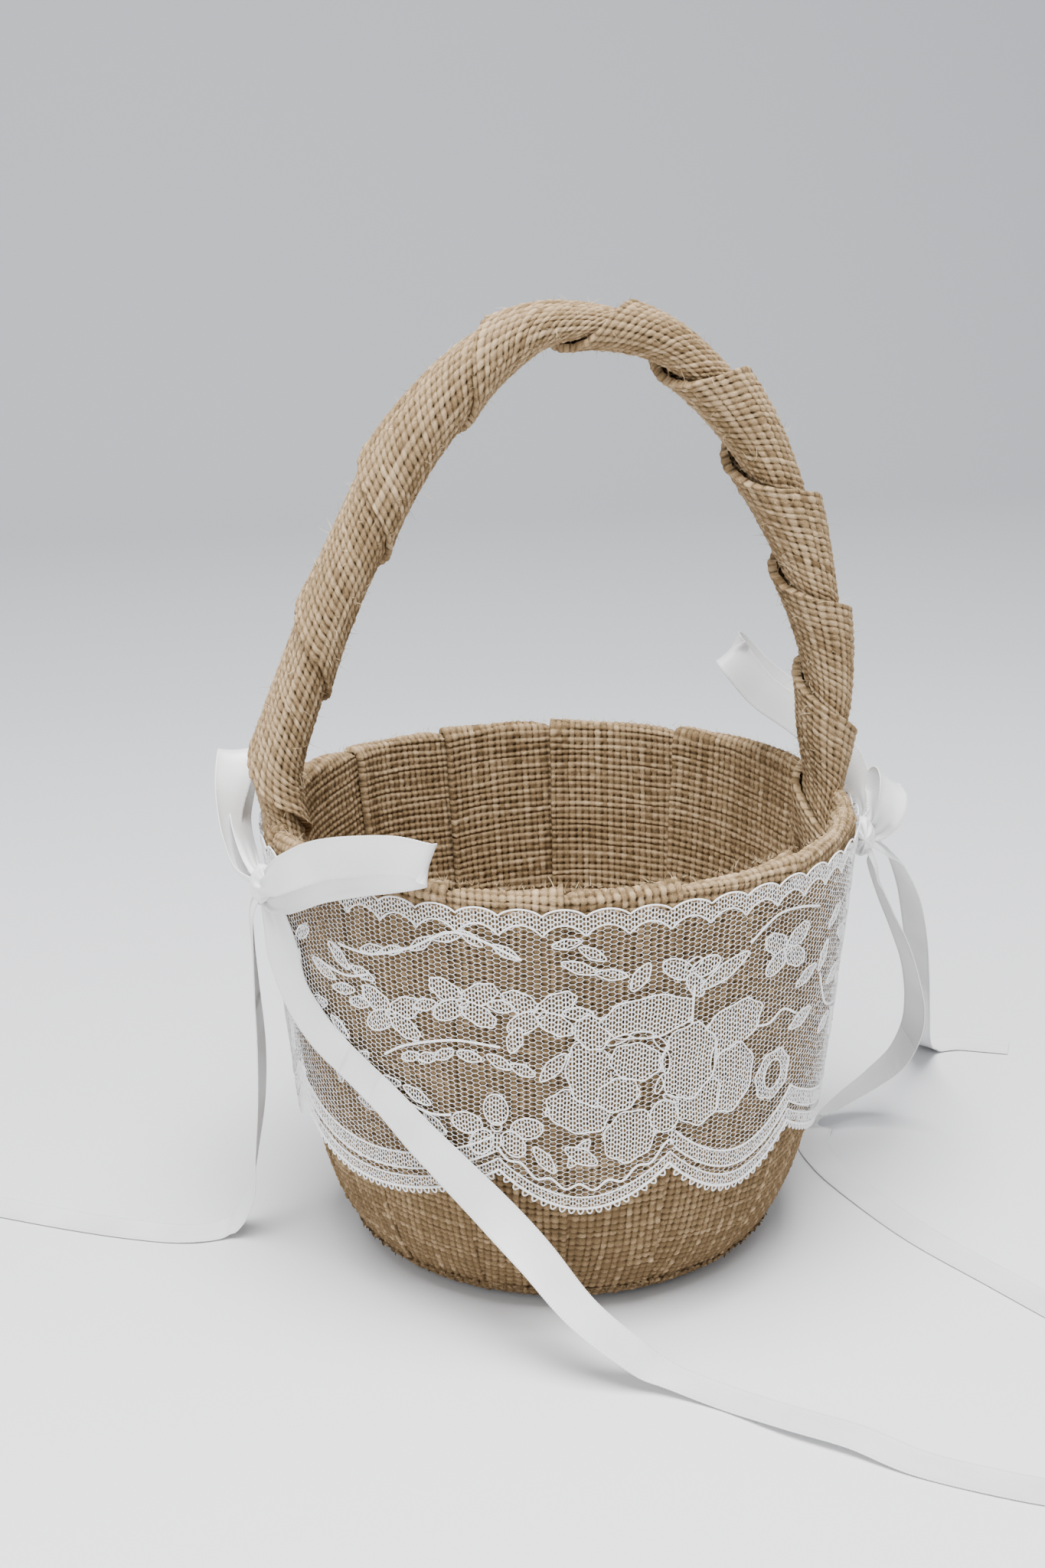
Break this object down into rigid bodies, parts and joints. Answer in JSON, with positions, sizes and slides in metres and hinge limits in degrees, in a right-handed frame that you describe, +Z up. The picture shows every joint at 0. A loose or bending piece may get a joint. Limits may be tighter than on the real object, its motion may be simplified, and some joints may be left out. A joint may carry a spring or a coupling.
{
  "type": "flower girl basket",
  "caption": "Round burlap-covered basket with a wrapped hoop handle, a lace band round the rim and two satin ribbon bows.",
  "frame": {"origin": "centre of the base, on the surface the basket stands on", "axes": "+Z up, X along the handle's plane with +X to the right of the picture's front, -Y towards the front where the long ribbon tail crosses"},
  "size_m": [0.3296, 0.2481, 0.2388],
  "materials": {
    "burlap": "coarse natural jute weave, matte",
    "core": "plain, hidden",
    "hoop": "plain, hidden",
    "lace": "open net with floral fill, matte",
    "ribbon": "satin"
  },
  "bodies": {
    "root": {"base_patch": "burlap", "bowl_core": "core", "lining_disc": "burlap", "wrap_strip_01": "burlap", "wrap_strip_02": "burlap", "wrap_strip_03": "burlap", "wrap_strip_04": "burlap", "wrap_strip_05": "burlap", "wrap_strip_06": "burlap", "wrap_strip_07": "burlap", "wrap_strip_08": "burlap", "wrap_strip_09": "burlap", "wrap_strip_10": "burlap", "wrap_strip_11": "burlap", "wrap_strip_12": "burlap", "wrap_strip_13": "burlap", "handle_core": "hoop", "handle_wrap": "burlap", "lace_band": "lace", "left_knot": "ribbon", "left_front_loop": "ribbon", "left_back_loop": "ribbon", "left_front_tail": "ribbon", "left_side_tail": "ribbon", "right_knot": "ribbon", "right_front_loop": "ribbon", "right_back_loop": "ribbon", "right_front_tail": "ribbon", "right_back_tail": "ribbon"}
  },
  "joints": []
}
